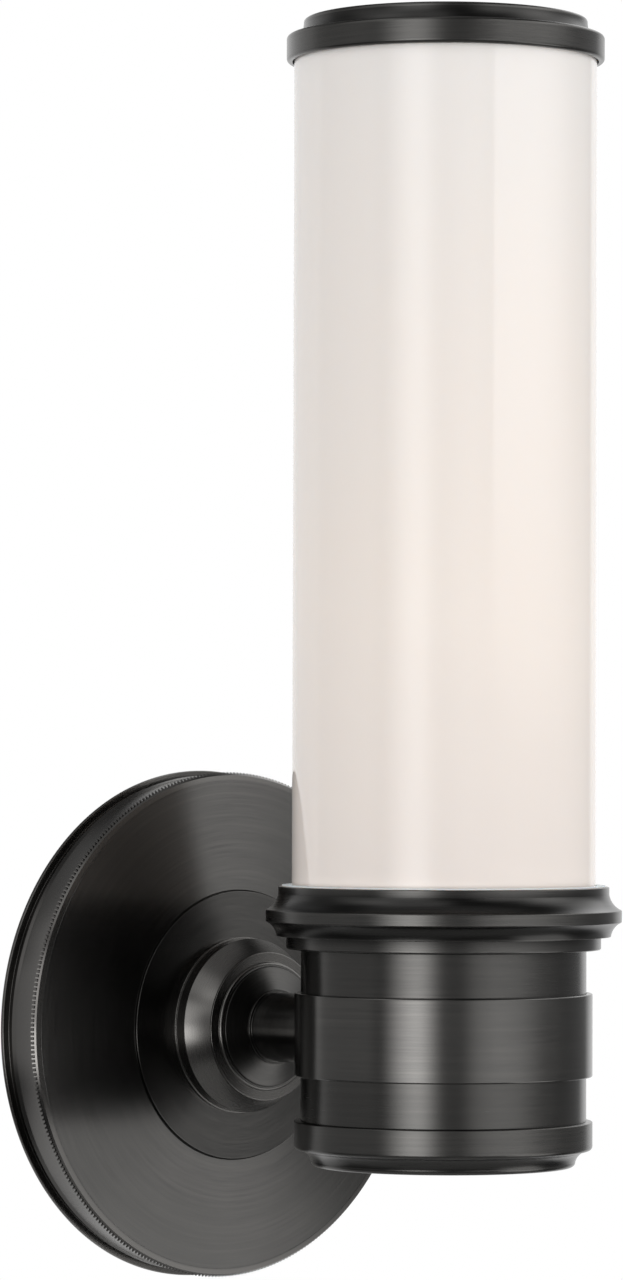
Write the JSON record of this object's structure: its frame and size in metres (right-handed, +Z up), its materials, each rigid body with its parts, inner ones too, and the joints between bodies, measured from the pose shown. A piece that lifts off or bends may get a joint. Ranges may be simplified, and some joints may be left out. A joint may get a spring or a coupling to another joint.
{
  "type": "bathroom sconce",
  "caption": "Wall sconce with a round milled-edge backplate, a short arm, a turned metal lamp body and a tall opal glass cylinder under a metal cap.",
  "frame": {"origin": "centre of the backplate's back face, on the wall, which is also the middle of the strap's slot pattern", "axes": "+Z up along the glass, -Y from the wall into the room, +X to the right for a person facing the wall"},
  "size_m": [0.127, 0.1335, 0.3081],
  "materials": {
    "dark_metal": "dark bronze, brushed round the axis",
    "plated_steel": "zinc plated",
    "ground_green": "green",
    "clear_silicone": "translucent",
    "porcelain": "glazed",
    "brass": "bright",
    "opal_glass": "opal white, glossy",
    "white_plastic": "moulded",
    "lamp_metal": "satin",
    "black_glass": "glossy",
    "clear_glass": "clear",
    "filament_coat": "matte",
    "black_insulation": "smooth",
    "white_insulation": "smooth",
    "green_insulation": "smooth",
    "connector_plastic": "moulded"
  },
  "bodies": {
    "root": {"mounting_strap": "plated_steel", "ground_screw": "ground_green", "backplate": "dark_metal", "milled_edge": "dark_metal", "side_screws": "dark_metal", "rosette": "dark_metal", "arm_boss": "dark_metal", "arm_tube": "dark_metal", "threaded_rod": "plated_steel", "rod_nuts": "plated_steel", "rod_washer": "plated_steel", "saddle_washer": "plated_steel", "body_tube": "dark_metal", "centre_band": "dark_metal", "gallery": "dark_metal", "shade_gasket": "clear_silicone", "base_ring": "dark_metal", "foot_cap": "dark_metal", "lampholder": "porcelain", "screw_shell": "brass", "contact_tongue": "brass", "holder_bracket": "plated_steel", "bracket_screws": "plated_steel", "stem": "plated_steel", "stem_nut": "plated_steel", "live_lead": "black_insulation", "neutral_lead": "white_insulation", "ground_lead": "green_insulation", "wire_connectors": "connector_plastic"},
    "shade": {"glass_shade": "opal_glass"},
    "ring": {"shade_ring": "white_plastic"},
    "cap": {"cap_ring": "dark_metal", "cap_liner": "clear_silicone", "cap_lid": "dark_metal", "cap_screws": "dark_metal"},
    "lamp": {"lamp_contact": "lamp_metal", "lamp_insulator": "black_glass", "lamp_cap": "lamp_metal", "lamp_envelope": "clear_glass", "lamp_stem": "clear_glass", "lamp_filaments": "filament_coat"}
  },
  "joints": [
    {"name": "shade_lift", "type": "slide", "parent": "root", "child": "shade", "axis": [0, 0, 1], "range_m": [0, 0.15]},
    {"name": "ring_unscrew", "type": "slide", "parent": "shade", "child": "ring", "axis": [0, 0, 1], "range_m": [0, 0.012]},
    {"name": "cap_lift", "type": "slide", "parent": "shade", "child": "cap", "axis": [0, 0, 1], "range_m": [0, 0.03]},
    {"name": "lamp_unscrew", "type": "slide", "parent": "root", "child": "lamp", "axis": [0, 0, 1], "range_m": [0, 0.03]}
  ]
}
